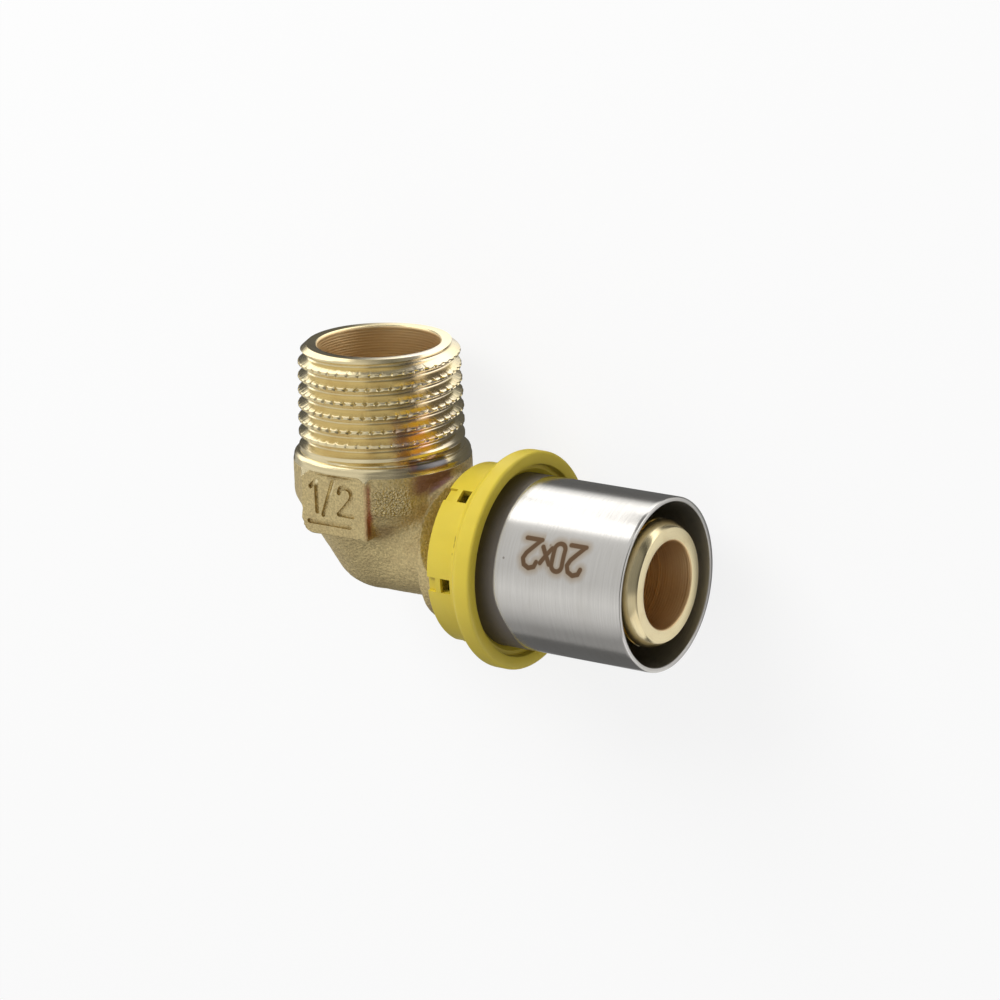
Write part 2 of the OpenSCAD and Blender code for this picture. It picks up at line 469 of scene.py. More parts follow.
def waves(p, amplitude, low, high, seed, count=26):
    """Smooth unevenness with wavelengths between low and high"""
    rng = np.random.default_rng(seed)
    total = np.zeros(len(p))
    for _ in range(count):
        direction = rng.normal(size=3)
        direction /= np.linalg.norm(direction)
        length = rng.uniform(low, high)
        total += np.sin(2 * pi / length * (p @ direction) + rng.uniform(0, 2 * pi))
    return amplitude * total / np.sqrt(count)


def raw_skin(p):
    """Barrel, heel, knuckle, neck, collar and wrench pads before turning"""
    x, y, z = p.T
    about_y, about_x = np.hypot(x, z), np.hypot(y, z)
    heel = about_y * cos(HEEL_ANGLE) - y * sin(HEEL_ANGLE) - KNUCKLE_R
    barrel = soft_max(heel, about_y - BARREL_R, 0.36)
    knuckle = np.sqrt(x * x + y * y + z * z) - KNUCKLE_R
    barrel = np.where(y < -about_y * tan(HEEL_ANGLE), knuckle, barrel)
    neck = np.maximum(about_x - NECK_R, -x)
    # the valley between barrel and neck is rounder on the thread's side than under the heel
    valley = 0.05 + 1.35 * np.clip((y + 6.5) / 6, 0, 1) ** 2
    body = round_union(barrel, neck, valley)
    # the collar's edge is sharper about 40 degrees round from the thread's side
    flash = np.clip(1.6 - np.abs(np.degrees(np.arctan2(z, y)) - 40) / 20, 0, 1)
    collar = soft_max(about_x - COLLAR_R, COLLAR_X - x, 0.9 - 0.6 * flash)
    body = round_union(body, collar, 1.0)
    # a pad is round at its lower left corner and square at the others
    corner = np.hypot(np.maximum(PAD_ROUND - PAD_LEFT - x, 0),
                      np.maximum(PAD_LOW_Y + PAD_ROUND - y, 0)) - PAD_ROUND
    corner = np.where((x > PAD_ROUND - PAD_LEFT) & (y > PAD_LOW_Y + PAD_ROUND),
                      np.maximum(-x - PAD_LEFT, PAD_LOW_Y - y), corner)
    outline = soft_max(corner, x - PAD_RIGHT, 0.35)
    outline = np.maximum(outline, y - PAD_TOP_Y)
    pad = soft_max(outline, np.abs(z) - PAD_Z, 0.25)
    body = round_union(body, pad, 0.5)
    # beside and below the pad the barrel is cut level with it, so nothing stands over it
    beside = np.maximum(np.abs(x) - PAD_LEFT - 0.7, np.maximum(1.65 - y, y - PAD_TOP_Y))
    return soft_max(body, -np.maximum(beside, PAD_Z - np.abs(z)), 0.25)


def shoulder_radius(p):
    """The turned shoulder's radius at points; below its land it opens and leaves the raw skin"""
    y = p[:, 1]
    land = np.interp(y, *zip(*SHOULDER))
    limit = 10.86 - 0.5 * np.clip((-p[:, 0] - 0.5 * p[:, 2] - 5.5) / 5, 0, 1)
    return land + np.maximum(limit - y, 0) * 0.4


def forged_skin(p):
    """The raw skin with its unevenness, which dies out towards the shoulder"""
    depth = bpy.context.scene.elbow_sizes.unevenness / MM
    rough = waves(p, depth, 4, 11, 5) + waves(p, depth / 3, 1.5, 3, 6) + waves(
        p, depth / 4, 0.6, 1.2, 7)
    top = np.clip((10.9 - p[:, 1]) / 1.5, 0.25, 1)
    return raw_skin(p) + 0.045 * np.tanh(rough / 0.045) * top


def cut_skin(p):
    """The forged skin where the shoulder's turning has touched it low down"""
    about_y = np.hypot(p[:, 0], p[:, 2])
    return np.maximum(forged_skin(p), about_y - shoulder_radius(p))


def settle(p, skin, rounds=5):
    """Moves points onto a skin"""
    step = 0.02
    for _ in range(rounds):
        here = skin(p)
        slope = np.stack([skin(p + step * np.eye(3)[k]) - here for k in range(3)], axis=1) / step
        size = np.maximum((slope * slope).sum(axis=1, keepdims=True), 0.2)
        p = p - here[:, None] * slope / size
    return p


def waterways():
    """Solids of the two bores, to be cut from the forging"""
    cone = (THREAD_BORE_R - SPIGOT_BORE_R) / tan(radians(59))
    down = [(THREAD_END_Y, 0), (THREAD_END_Y, THREAD_BORE_R), (THREAD_BORE_END_Y, THREAD_BORE_R),
            (THREAD_BORE_END_Y - cone, SPIGOT_BORE_R)]
    down += arc(0, 0, SPIGOT_BORE_R, 90, 180, 20)
    along = [(0.5, 0), (0.5, SPIGOT_BORE_R), (20, SPIGOT_BORE_R), (20, 0)]
    return turned(down, "Y", 160), turned(along, "X", 160)


def stroke_solid(start, end, half, low, high):
    """A straight stroke with round ends, standing from one height to the other"""
    slope = degrees(atan2(end[1] - start[1], end[0] - start[0]))
    rim = arc(*end, half, slope - 90, slope + 90, 6)
    rim += arc(*start, half, slope + 90, slope + 270, 6)
    bm = bmesh.new()
    face = bm.faces.new([bm.verts.new((x, y, low)) for x, y in rim])
    grown = bmesh.ops.extrude_face_region(bm, geom=[face])["geom"]
    top = [v for v in grown if isinstance(v, bmesh.types.BMVert)]
    bmesh.ops.translate(bm, vec=(0, 0, high - low), verts=top)
    bmesh.ops.recalc_face_normals(bm, faces=bm.faces)
    return bm


def pad_number():
    """The thread's size over a bar, as solids to be sunk in the front wrench pad"""
    left, foot, half, depth = -3.9, 5.6, 0.31, 0.42
    one = [((0.2, 3.2), (1.1, 4.0)), ((1.1, 4.0), (1.1, 0.0))]
    slash = [((2.0, -0.3), (3.7, 4.2))]
    two = [((x0 + 4.4, y0), (x1 + 4.4, y1)) for (x0, y0), (x1, y1) in DIGIT_TWO]
    bar = [((-0.2, -1.4), (6.0, -1.4))]
    return [stroke_solid((x0 + left, y0 + foot), (x1 + left, y1 + foot), half,
                         PAD_Z - depth, PAD_Z + 1)
            for (x0, y0), (x1, y1) in one + slash + two + bar]


class ELBOW_OT_forging(bpy.types.Operator):
    """Build the forged elbow with its neck, collar and wrench pads"""
    bl_idname = "elbow.forging"
    bl_label = "Forging"

    def execute(self, context):
        rough = loose_object(self.blank(), "rough")
        remesh = rough.modifiers.new("skin", "REMESH")
        remesh.mode = "VOXEL"
        remesh.voxel_size = context.scene.elbow_sizes.skin_cell / MM
        bm = applied(rough)
        for rounds in (5, 3, 3):
            move_to(bm, settle(positions(bm), cut_skin, rounds))
            bmesh.ops.smooth_vert(bm, verts=bm.verts, factor=0.5, use_axis_x=True,
                                  use_axis_y=True, use_axis_z=True)
        move_to(bm, settle(positions(bm), cut_skin, 3))
        for point, normal in (((0, SPLIT_Y, 0), (0, 1, 0)), ((RING_X, 0, 0), (1, 0, 0))):
            bmesh.ops.bisect_plane(bm, geom=bm.verts[:] + bm.edges[:] + bm.faces[:],
                                   plane_co=point, plane_no=normal, clear_outer=True)
            rim = [edge for edge in bm.edges if edge.is_boundary]
            bmesh.ops.holes_fill(bm, edges=rim, sides=0)
        bmesh.ops.recalc_face_normals(bm, faces=bm.faces)
        bm = cut(bm, *waterways(), *pad_number())
        p = positions(bm)
        bored = (np.hypot(p[:, 0], p[:, 2]) < 7.9) | (np.hypot(p[:, 1], p[:, 2]) < 5.6)
        cut_away = (forged_skin(p) < -0.02) & (bored & (p[:, 2] < 8) | (p[:, 1] > 9.6))
        mark_turned(bm, cut_away)
        finished(bm, "brass_forging", brass(), ["brass_body"])
        return {"FINISHED"}

    def blank(self):
        """Plain shapes near the skin, for the remesh to join in one"""
        bm = turned([(SPLIT_Y + 1, 0), (SPLIT_Y + 1, BARREL_R), (7, BARREL_R), (-3.3, 6),
                     (-6, 3), (-6.7, 0)], "Y", 96)
        for radius, middle, depth in ((NECK_R, 8, 16), (COLLAR_R, COLLAR_X + 2.5, 5)):
            bmesh.ops.create_cone(
                bm, cap_ends=True, segments=64, radius1=radius, radius2=radius, depth=depth,
                matrix=Matrix.Translation((middle, 0, 0)) @ Matrix.Rotation(pi / 2, 4, "Y"))
        box(bm, (2 * PAD_RIGHT, PAD_TOP_Y - PAD_LOW_Y, 2 * PAD_Z),
            (0, (PAD_TOP_Y + PAD_LOW_Y) / 2, 0))
        return bm


# ---------------------------------------------------------------------------
# Thread and shoulder

def thread_radius(angle, y, turn, sizes):
    """Radius of the thread's surface; turn counts pitches down from the top crest"""
    beside = np.abs(turn - np.round(turn))
    depth = np.interp(beside, [0, 0.035, 0.065, 0.095, 0.135, 0.37, 0.44, 0.5],
                      [0, 0.005, 0.022, 0.06, 0.155, 1.0, 1.13, THREAD_DEPTH])
    major = THREAD_R - (y - GAUGE_Y) / 32
    step = 360 / max(sizes.nick_count, 1)
    off = (angle + 2.1 * np.round(turn)) % step - step / 2
    nick = np.clip(np.minimum(1 + off / 2.0, 1 - off / 3.6) - beside / 0.32, 0, 1)
    nick = nick * np.clip((y - 13.4) / 2.5, 0, 1) * np.clip((25.4 - y) / 3, 0.2, 1)
    nick = nick * sizes.nick_depth / MM
    return major - np.maximum(depth, nick)


def land_rows(angle, y):
    """Radius of the shoulder's land at angles and heights, and where it is turned"""
    a = np.radians(angle)
    outward = np.stack([np.sin(a), np.zeros(len(a)), np.cos(a)], axis=1)
    height = np.stack([np.zeros(len(a)), y, np.zeros(len(a))], axis=1)
    skin = np.full(len(a), 11.6)
    for _ in range(8):
        skin = skin - forged_skin(outward * skin[:, None] + height)
    land = shoulder_radius(outward * 11 + height)
    return np.minimum(land, skin), np.clip((skin - land) / 0.02 + 0.5, 0, 1)


class ELBOW_OT_thread(bpy.types.Operator):
    """Build the tapered thread with its end face, bore and turned shoulder"""
    bl_idname = "elbow.thread"
    bl_label = "Thread and shoulder"

    def execute(self, context):
        turns = [n + part for n in range(-2, 7) for part in PITCH_ROWS] + [7.0]
        bore = [(SPLIT_Y, THREAD_BORE_R), (25.3, THREAD_BORE_R), (25.34, THREAD_BORE_R + 0.03),
                (25.52, THREAD_BORE_R + 0.2), (THREAD_END_Y, THREAD_BORE_R + 0.26),
                (THREAD_END_Y, 8.8)]
        lands = [11.9, 11.8, 11.7, 11.6, 11.5, 11.4, 11.3, 11.2] + [
            11.15 - 0.05 * i for i in range(13)] + [SPLIT_Y]
        rows = len(bore) + len(turns) + len(lands) + 1
        bm = bmesh.new()
        bmesh.ops.create_grid(bm, x_segments=THREAD_COLUMNS, y_segments=rows - 1, size=0.5)
        grid = positions(bm)
        angle = (grid[:, 0] + 0.5) * 360 - 180
        row = np.round((grid[:, 1] + 0.5) * (rows - 1)).astype(int)
        y, r, cut_mark = np.zeros(len(row)), np.zeros(len(row)), np.ones(len(row))
        for i, (height, radius) in enumerate(bore + [bore[0]]):
            here = row == (i if i < len(bore) else rows - 1)
            y[here], r[here] = height, radius
        body = (row >= len(bore)) & (row < len(bore) + len(turns))
        turn = np.array(turns)[row[body] - len(bore)]
        helix = TOP_CREST_Y + PITCH * ((angle[body] - TOP_CREST_ANGLE) / 360 - turn)
        y[body] = np.clip(helix, SHOULDER_TOP_Y, THREAD_END_Y)
        r[body] = self.wall(angle[body], y[body], context.scene.elbow_sizes)
        low = (row >= len(bore) + len(turns)) & (row < rows - 1)
        y[low] = np.array(lands)[row[low] - len(bore) - len(turns)]
        r[low], cut_mark[low] = land_rows(angle[low], y[low])
        a = np.radians(angle)
        move_to(bm, np.stack([r * np.sin(a), y, r * np.cos(a)], axis=1))
        mark_turned(bm, cut_mark)
        bmesh.ops.remove_doubles(bm, verts=bm.verts, dist=2e-4)
        bmesh.ops.dissolve_degenerate(bm, edges=bm.edges, dist=2e-4)
        bmesh.ops.recalc_face_normals(bm, faces=bm.faces)
        finished(bm, "brass_thread", brass(), ["brass_body"])
        return {"FINISHED"}

    def wall(self, angle, y, sizes):
        """Radius of the threaded part, with its run-out in the shoulder and its end chamfer"""
        turn = (TOP_CREST_Y - y) / PITCH + (angle - TOP_CREST_ANGLE) / 360
        a = np.radians(angle)
        level = np.stack([11 * np.sin(a), y, 11 * np.cos(a)], axis=1)
        chamfer = np.interp(y, [23.6, 24.4, 24.75, 25.05, 25.55], [10.5, 10.2, 10.05, 9.72, 9.15])
        wall = np.maximum(thread_radius(angle, y, turn, sizes), shoulder_radius(level))
        return np.minimum(wall, chamfer)


class ELBOW_OT_spigot(bpy.types.Operator):
    """Build the grooved spigot with its barbs and rounded nose"""
    bl_idname = "elbow.spigot"
    bl_label = "Spigot"

    def execute(self, context):
        outline = [(RING_X, SPIGOT_BORE_R), (RING_X, 8.4), (15.65, 8.4), (15.65, 8.75),
                   (16.05, 8.75), (16.95, SPIGOT_FOOT_R)]
        for x in SEAL_X:
            half = [(2.3, SPIGOT_FOOT_R), (2, SPIGOT_R), (SEAL_GROOVE_HALF, SPIGOT_R),
                    (SEAL_GROOVE_HALF, SEAL_GROOVE_R)]
            outline += [(x - away, r) for away, r in half]
            outline += [(x + away, r) for away, r in reversed(half)]
        pitch = (BARB_END_X - BARB_X) / BARBS
        for i in range(BARBS):
            x = BARB_X + i * pitch
            outline += [(x, BARB_FOOT_R), (x + 0.01, SPIGOT_R), (x + 0.35, SPIGOT_R),
                        (x + pitch - 0.01, BARB_FOOT_R)]
        # the nose: a thin groove, then a round shoulder down to the end face
        outline += [(BARB_END_X, BARB_FOOT_R), (39.15, SPIGOT_R), (39.95, 7.97), (40.0, 7.6),
                    (40.2, 7.6), (40.26, 7.99), (40.4, 8.0), (40.7, 7.95), (41.0, 7.86),
                    (41.3, 7.73), (41.6, 7.57), (41.9, 7.37), (42.12, 7.19),
                    (SPIGOT_END_X, 7.13)]
        # the bore: a rounded mouth and a thin groove
        outline += [(SPIGOT_END_X, 5.75), (42.13, 5.62), (42.05, 5.52), (41.95, 5.47),
                    (41.85, SPIGOT_BORE_R), (37.62, SPIGOT_BORE_R), (37.6, 5.58), (37.5, 5.58),
                    (37.48, SPIGOT_BORE_R)]
        bm = turned(outline, "X", 224)
        mark_turned(bm, np.ones(len(bm.verts)))
        finished(bm, "brass_spigot", brass(), ["brass_body"])
        return {"FINISHED"}


class ELBOW_OT_sleeve(bpy.types.Operator):
    """Build the thin drawn press sleeve"""
    bl_idname = "elbow.sleeve"
    bl_label = "Press sleeve"

    def execute(self, context):
        inner = SLEEVE_R - SLEEVE_WALL
        end = SLEEVE_END_X
        outline = [(SLEEVE_X + 0.12, inner), (SLEEVE_X, inner + 0.12), (SLEEVE_X, LIP_R),
                   (SLEEVE_X + 0.6, LIP_R), (SLEEVE_X + 0.6, SLEEVE_R)]
        outline += [(x, SLEEVE_R) for x in np.linspace(20.5, end - 0.5, 12)]
        outline += [(end - 0.16, SLEEVE_R - 0.01), (end - 0.06, SLEEVE_R - 0.05),
                    (end, SLEEVE_R - 0.14), (end, inner + 0.2), (end - 0.04, inner + 0.08),
                    (end - 0.12, inner + 0.02), (end - 0.3, inner)]
        bm = turned(outline, "X", 256)
        finished(bm, "steel_sleeve", steel(), ["press_sleeve"])
        return {"FINISHED"}


def window_cutters(sizes):
    """Prisms that cut the windows and the notches behind them"""
    made = []
    width = sizes.window_width / MM
    for i in range(sizes.window_count):
        bm = bmesh.new()
        box(bm, (WINDOW_LENGTH, 3.1, width), (WINDOW_END_X - WINDOW_LENGTH / 2, 11.05, 0))
        box(bm, (3.0, 1.7, width), (RING_X + 0.5, 11.75, 0))
        turn = sizes.window_phase + 2 * pi * i / sizes.window_count
        bmesh.ops.rotate(bm, cent=(0, 0, 0), matrix=Matrix.Rotation(turn, 3, "X"),
                         verts=bm.verts)
        made.append(bm)
    return made


class ELBOW_OT_ring(bpy.types.Operator):
    """Build the moulded ring with its flange and inspection windows"""
    bl_idname = "elbow.ring"
    bl_label = "Moulded ring"

    def execute(self, context):
        seat, lip = SLEEVE_R + 0.04, LIP_R + 0.04
        outline = [(RING_X, 8.5), (RING_X, HUB_R - 0.15), (RING_X + 0.05, HUB_R - 0.05),
                   (RING_X + 0.15, HUB_R)]
        outline += bend((17.4, HUB_R), (1, 0), (19.0, 12.6), (0.25, 1), 2.2)
        outline += bend((19.0, 12.6), (0.25, 1), (20.2, FLANGE_R), (1, 0), 1.7)[1:]
        outline += arc(FLANGE_X - 0.4, FLANGE_R - 0.4, 0.4, 90, 0, 6)
        outline += [(FLANGE_X, 12.45), (FLANGE_X - 0.12, 12.17), (FLANGE_X - 0.4, 12.05),
                    (FLANGE_X - 0.95, 12.05), (FLANGE_X - 0.95, 11.5),
                    (FLANGE_X - 1.5, seat), (19.54, seat), (19.54, lip), (SLEEVE_X, lip),
                    (SLEEVE_X, 10.3), (15.6, 10.3), (15.6, 8.5)]
        bm = turned(outline, "X", 256)
        reach, depth = 1.7, 0.3
        for vert in bm.verts:
            near = 1 - (vert.co - DENT).length / reach
            if near > 0:
                vert.co -= Vector((0, vert.co.y, vert.co.z)).normalized() * depth * near
        bm = cut(bm, *window_cutters(context.scene.elbow_sizes))
        finished(bm, "plastic_ring", plastic(), ["moulded_ring"])
        return {"FINISHED"}


class ELBOW_OT_seals(bpy.types.Operator):
    """Give the seal rings their rubber"""
    bl_idname = "elbow.seals"
    bl_label = "Seal rings"

    def execute(self, context):
        finish = rubber()
        for name in ("inner_seal_ring", "outer_seal_ring"):
            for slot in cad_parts[name].material_slots:
                slot.material = finish
        return {"FINISHED"}


# ---------------------------------------------------------------------------
# Finishes

def blasted(s, turn, about_y):
    """Colour, roughness and relief of the forged skin"""
    forged = bpy.context.scene.elbow_colours.forged
    grain = s.noise(s.place, 3.4, 3.0, 0.6)
    pits = s.cells(s.place, 2.6)
    mottle = s.noise(s.place, 0.45, 3.0, 0.6)
    colour = s.mix(grain.ramp(0.3, 0.72), [c * 0.78 for c in forged],
                   [min(1, c * 1.2) for c in forged])
    colour = s.mix(mottle.ramp(0.4, 0.7) * 0.25, colour, (0.52, 0.38, 0.19))
    # a coarser field between the front pad and the spigot
    sparkle = s.cells(s.place, 3.4)
    coarse = turn.band(27, 52, 4) * s.y.band(5.8, 9.4, 0.5)
    colour = s.mix(coarse * (1 - sparkle.ramp(0.15, 0.4)) * 0.7, colour, (0.98, 0.86, 0.55))
    # painted purple shade under the land, a painted red reflection of the ring on the pad's right
    # wall and painted brown shade at the pad's foot
    # Painted shade: purple under the land's overhang on the spigot side
    shadow = turn.band(54, 86, 6) * s.y.band(8.2, 11.2, 0.8) * mottle.ramp(0.25, 0.45)
    shadow = shadow * (1 - about_y.ramp(11.5, 11.8))
    colour = s.mix(shadow * 0.85, colour, (0.28, 0.135, 0.165))
    # Painted reflection: red where the pad's right wall faces the ring
    wall = s.x.band(4.45, 5.1, 0.2) * s.z.band(9.6, 10.45, 0.35) * s.y.band(3.2, 10, 0.6)
    colour = s.mix(wall * 0.85, colour, (0.40, 0.10, 0.06))
    # Painted shade: brown in the crease at the foot of the pad's lower right corner
    foot = s.x.band(4.5, 7, 0.5) * s.z.ramp(6.5, 8) * s.y.band(2.4, 4.4, 0.8)
    colour = s.mix(foot * 0.55, colour, (0.30, 0.17, 0.07))
    relief = grain * 0.7 + pits * 0.3 + sparkle * coarse * 1.6
    return colour, 0.44 + grain * 0.14, relief


def machined(s, turn, about_y, about_x):
    """Colour, roughness and relief of the turned metal"""
    bright = bpy.context.scene.elbow_colours.turned
    on_thread = s.y.ramp(SPLIT_Y - 1, SPLIT_Y)
    along = s.y * on_thread + s.x * (1 - on_thread)
    rings = s.noise(s.vector(along * 9, 0.0, about_y * 0.6 + about_x * 0.6), 1.0, 3.0, 0.7)
    tarnish = s.noise(s.place, 0.3, 3.0, 0.6)
    # Painted highlight: a paler sheen on the thread's spigot side, where it reflects white; it
    # also keeps the tarnish off there
    pale = turn.band(56, 100, 6) * s.y.ramp(11.5, 13)
    colour = s.mix(rings.ramp(0.3, 0.75) * 0.35, bright, [c * 0.75 for c in bright])
    colour = s.mix(tarnish.ramp(0.45, 0.75) * 0.3 * (1 - pale), colour, (0.66, 0.48, 0.22))
    colour = s.mix(pale * 0.7, colour, (0.86, 0.74, 0.56))
    bore = (1 - about_y.ramp(7.8, 7.95)) * s.y.ramp(8, 9)
    pipe = (1 - about_x.ramp(5.6, 5.7)) * s.x.ramp(8, 9)
    colour = s.mix(bore * 0.7, colour, (0.84, 0.60, 0.31))
    colour = s.mix(pipe * 0.7, colour, (0.84, 0.55, 0.27))
    # painted reddish reflection of the ring on the thread's spigot side; on the shoulder's land on
    # that side, a dark grey patch with a purple rim
    reach = s.y.band(12.2, 17.5, 2.2) * on_thread
    reach = reach * s.noise(s.place, 0.4, 2.0, 0.5).ramp(0.3, 0.55)
    painted_ring_reflection = reach * turn.band(43, 57, 5)
    colour = s.mix(painted_ring_reflection * 0.65, colour, (0.46, 0.26, 0.24))
    colour = s.mix(reach * turn.band(57, 76, 5) * 0.6, colour, (0.88, 0.52, 0.44))
    patch = turn + s.noise(s.place, 1.2) * 6 - 3
    border = patch.band(53, 82, 3) * s.y.band(11.1, 12.35, 0.25)
    colour = s.mix(border * 0.8, colour, (0.22, 0.10, 0.14))
    grey = patch.band(58, 82, 2) * s.y.band(11.45, 12.25, 0.12)
    colour = s.mix(grey, colour, (0.20, 0.19, 0.19))
    rough = 0.15 + rings * 0.10 + painted_ring_reflection * 0.1 + bore * 0.32 + pipe * 0.2 + border * 0.15
    groove = (along * (2 * pi / 0.36) + rings * 5).wave() * (pipe * 1.4 + bore * 0.9) + rings
    return colour, rough, groove


def brass():
    """Blasted forging and turned metal in one finish, told apart by the turned mark"""
    if "brass" in bpy.data.materials:
        return bpy.data.materials["brass"]
    s = Shader("brass", Metallic=1.0, IOR=1.5)
    cut_part = s.node("ShaderNodeAttribute", {"attribute_name": "turned"}, {}, "Fac")
    fresh = cut_part.ramp(0.3, 0.7)
    turn = s.x.angle(s.z) * (180 / pi)
    about_y = (s.x * s.x + s.z * s.z).root()
    about_x = (s.y * s.y + s.z * s.z).root()
    skin, rough_skin, relief = blasted(s, turn, about_y)
    metal, rough_metal, groove = machined(s, turn, about_y, about_x)
    normal = s.bump(relief * (1 - fresh), 0.16)
    return s.finish(Base_Color=s.mix(fresh, skin, metal),
                    Roughness=rough_skin * (1 - fresh) + rough_metal * fresh,
                    Normal=s.bump(groove * fresh, 0.02, 0.6, normal))


def steel():
    """Drawn steel with fine streaks round the sleeve"""
    colours = bpy.context.scene.elbow_colours
    s = Shader("steel", Metallic=1.0)
    turn = s.z.angle(s.y)
    streaks = s.noise(s.vector(s.x * 5.5, turn * 1.1, 0.0), 1.0, 4.0, 0.7)
    fine = s.noise(s.vector(s.x * 26, turn * 2.6, 3.0), 1.0, 2.0, 0.6)
    cloud = s.noise(s.place, 0.16, 2.0, 0.5)
    colour = s.mix(streaks.ramp(0.3, 0.75) * 0.35, colours.steel,
                   [c * 0.68 for c in colours.steel])
    colour = s.mix(cloud.ramp(0.45, 0.7) * 0.15, colour, (0.50, 0.46, 0.40))
    # Painted dark reflection: a dark grey, rougher band round the sleeve next to the ring, which
    # reaches further along the sleeve on one side
    swing = (1 - turn.ramp(1.6, 2.25)) * 0.25 + 0.75
    outer = (s.y * s.y + s.z * s.z).root().ramp(10.6, 10.7)
    edge = 1 - (s.x - 4.4 * (1 - swing) + streaks * 0.3).ramp(23.85, 24.1)
    edge = edge * outer
    colour = s.mix(edge * 0.85, colour, (0.17, 0.15, 0.155))
    specks = 1 - s.cells(s.place, 0.33).ramp(0.035, 0.06)
    colour = s.mix(specks * 0.6, colour, (0.16, 0.13, 0.10))
    dark, halo = size_mark(s, turn)
    colour = s.mix(halo * 0.6 * outer, colour, (0.42, 0.31, 0.18))
    colour = s.mix(dark * 0.93 * outer, colour, colours.mark)
    roughness = 0.10 + streaks * 0.10 + fine * 0.06
    roughness = roughness + edge * 0.35 + dark * 0.15 + (1 - outer) * 0.2
    normal = s.bump(streaks * 0.6 + fine * 0.4, 0.012, 0.6)
    return s.finish(Base_Color=colour, Roughness=roughness, Normal=normal)


def size_mark(s, turn):
    """A plain pipe size, drawn by laser in strokes; it reads from the open end with its foot up"""
    across = 36.2 - s.x
    height = turn * SLEEVE_R - radians(54) * SLEEVE_R
    both = across - (across > 6.0) * 6.35
    gap = abs(segment(across, height, (3.55, 0.9), (3.55, 2.85)) - 0.75)
    for stroke in DIGIT_TWO:
        gap = gap.least(segment(both, height, *stroke))
    for stroke in (((4.65, 0.9), (5.95, 2.9)), ((5.95, 0.9), (4.65, 2.9))):
        gap = gap.least(segment(across, height, *stroke))
    return 1 - gap.ramp(0.23, 0.38), 1 - gap.ramp(0.2, 1.3)


def segment(a, b, start, end):
    """Distance from the point (a, b) to a straight stroke"""
    run, rise = end[0] - start[0], end[1] - start[1]
    a, b = a - start[0], b - start[1]
    part = ((a * run + b * rise) / (run * run + rise * rise)).most(0).least(1)
    a, b = a - part * run, b - part * rise
    return (a * a + b * b).root()


def plastic():
    """Satin moulded plastic with a very fine skin"""
    colours = bpy.context.scene.elbow_colours
    s = Shader("plastic", Specular_IOR_Level=0.4)
    s.surface.inputs["Subsurface Weight"].default_value = 0.12
    s.surface.inputs["Subsurface Radius"].default_value = (0.002, 0.0014, 0.0004)
    cloud = s.noise(s.place, 0.35, 3.0, 0.5)
    skin = s.noise(s.place, 7.0, 2.0, 0.5)
    colour = s.mix(cloud.ramp(0.35, 0.7) * 0.25, colours.plastic,
                   [c * 0.86 for c in colours.plastic])
    turn = s.z.angle(s.y)
    scuff = s.x.band(17.8, 17.92, 0.04) * turn.band(0.99, 1.3, 0.03)
    scuff = scuff * s.noise(s.place, 2.2).ramp(0.46, 0.58)
    colour = s.mix(scuff * 0.7, colour, (0.12, 0.09, 0.01))
    roughness = 0.30 + cloud * 0.12 + skin * 0.06
    normal = s.bump(skin * 0.5 + cloud * 0.5, 0.02, 0.35)
    return s.finish(Base_Color=colour, Roughness=roughness, Normal=normal)


def rubber():
    """Matte black rubber"""
    colours = bpy.context.scene.elbow_colours
    s = Shader("rubber", Specular_IOR_Level=0.4)
    skin = s.noise(s.place, 6.0, 2.0, 0.5)
    colour = s.mix(skin, colours.rubber, [c * 1.8 for c in colours.rubber])
    return s.finish(Base_Color=colour, Roughness=0.55 + skin * 0.15,
                    Normal=s.bump(skin, 0.02, 0.4))


# ---------------------------------------------------------------------------
# Stage

def place(location, target):
    """A place at the location, turned so that -Z points to the target"""
    turn = (Vector(target) - Vector(location)).to_track_quat("-Z", "Y")
    return Matrix.Translation(location) @ turn.to_matrix().to_4x4()


def reflected(bm, shader, strength):
    """Part of the stage that shines in reflections and shows nowhere else"""
    bmesh.ops.scale(bm, vec=(MM, MM, MM), verts=bm.verts)
    piece = loose_object(bm, shader.material.name)
    piece.data.materials.append(shader.material)
    shader.feed("Material Output", Surface=shader.glow(strength))
    piece.visible_camera = piece.visible_diffuse = piece.visible_shadow = False
    piece.visible_transmission = False


